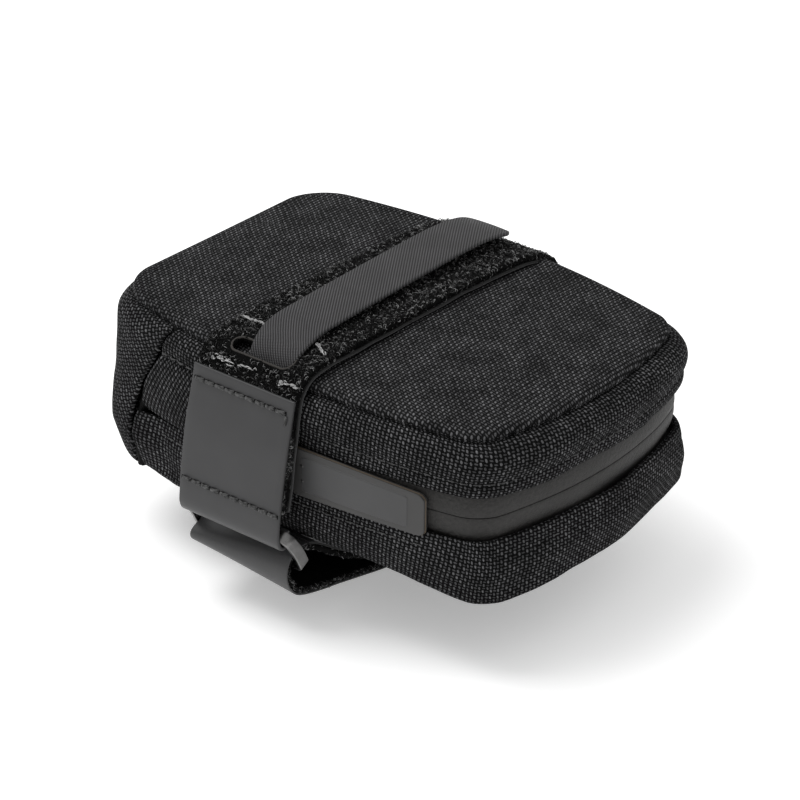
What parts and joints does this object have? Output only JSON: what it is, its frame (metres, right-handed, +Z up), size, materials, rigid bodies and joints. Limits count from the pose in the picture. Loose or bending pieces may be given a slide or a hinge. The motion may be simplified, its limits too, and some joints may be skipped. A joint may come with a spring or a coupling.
{
  "type": "saddle bag",
  "caption": "Small under-saddle bag: rounded fabric box with a coated zip round its rear, one wide hook-and-loop strap with a metal ring, and a webbing wing.",
  "frame": {"origin": "middle of the strap's top face, between the two saddle rails, where the bag hangs from the saddle", "axes": "+X from the seat-post end to the zipped rear end, +Z up towards the saddle, -Y is the side with the ring and patch"},
  "size_m": [0.1344, 0.1146, 0.0724],
  "materials": {
    "shell_weave": "coarse charcoal basket-weave nylon, matte",
    "top_weave": "coarse charcoal basket-weave nylon, matte",
    "welt": "dark woven seam binding",
    "foam": "closed-cell foam sheet",
    "lining": "smooth grey lining cloth",
    "stiffener": "dark polyethylene board",
    "zip_tape": "matte coated water-resistant zip tape",
    "zip_coil": "black nylon coil",
    "strap_pile": "black loop pile",
    "strap_back": "smooth grey-black coated strap face",
    "patch_rubber": "matte rubber-coated fabric",
    "dark_thread": "heavy bonded thread",
    "pale_thread": "pale bartack thread",
    "binding": "narrow grey edge binding",
    "webbing": "grey fine-ribbed webbing",
    "slider_metal": "dark coated zinc",
    "puller_edge": "layered rubber-coated fabric edge",
    "puller_face": "smooth satin rubber",
    "ring_steel": "satin brushed steel",
    "hook_tape": "moulded hook tape"
  },
  "bodies": {
    "root": {"bottom_panel": "shell_weave", "base_stiffener": "stiffener", "lower_sidewall": "shell_weave", "front_panel": "shell_weave", "garage_panel_near": "shell_weave", "garage_panel_far": "shell_weave", "upper_sidewall_front": "shell_weave", "top_panel_front": "top_weave", "top_welt_front": "welt", "front_seam_piping": "welt", "body_foam": "foam", "body_lining": "lining", "lower_zipper_tape": "zip_tape", "lower_zipper_coil": "zip_coil", "upper_tape_ends": "zip_tape", "zipper_stops": "slider_metal", "main_strap": "strap_pile", "strap_patch": "patch_rubber", "patch_stitching": "dark_thread", "slot_binding": "binding", "bartacks": "pale_thread", "wing_anchor": "webbing"},
    "lid": {"top_panel_rear": "top_weave", "upper_sidewall_rear": "shell_weave", "top_welt_rear": "welt", "upper_zipper_tape": "zip_tape", "upper_zipper_coil": "zip_coil", "lid_foam": "foam", "lid_lining": "lining"},
    "slider": {"zipper_slider": "slider_metal", "slider_bridge": "slider_metal"},
    "puller": {"puller_tab": "puller_edge", "puller_inlay": "puller_face", "puller_link": "slider_metal"},
    "ring": {"strap_ring": "ring_steel"},
    "wing": {"wing_webbing": "webbing"},
    "tail": {"strap_tail": "strap_back", "tail_hook_patch": "hook_tape"}
  },
  "joints": [
    {"name": "zipper_slide", "type": "slide", "parent": "root", "child": "slider", "axis": [0.9956, 0.0926, -0.012], "range_m": [0, 0.034]},
    {"name": "puller_swing", "type": "hinge", "parent": "slider", "child": "puller", "pos_m": [0.01096, -0.04937, -0.02703], "axis": [-0.0119, -0.0011, -0.9999], "range_deg": [0, 18]},
    {"name": "lid_open", "type": "hinge", "parent": "root", "child": "lid", "pos_m": [0.0165, 0, -0.0028], "axis": [0, -1, 0], "range_deg": [0, 42]},
    {"name": "ring_swing", "type": "hinge", "parent": "root", "child": "ring", "pos_m": [0, -0.0573, -0.0426], "axis": [1, 0, 0], "range_deg": [-5, 5]},
    {"name": "wing_lift", "type": "hinge", "parent": "root", "child": "wing", "pos_m": [0, -0.041, 0.00012], "axis": [1, 0, 0], "range_deg": [0, 75]},
    {"name": "tail_peel", "type": "hinge", "parent": "root", "child": "tail", "pos_m": [0, -0.0492, -0.0627], "axis": [-1, 0, 0], "range_deg": [0, 50]}
  ]
}
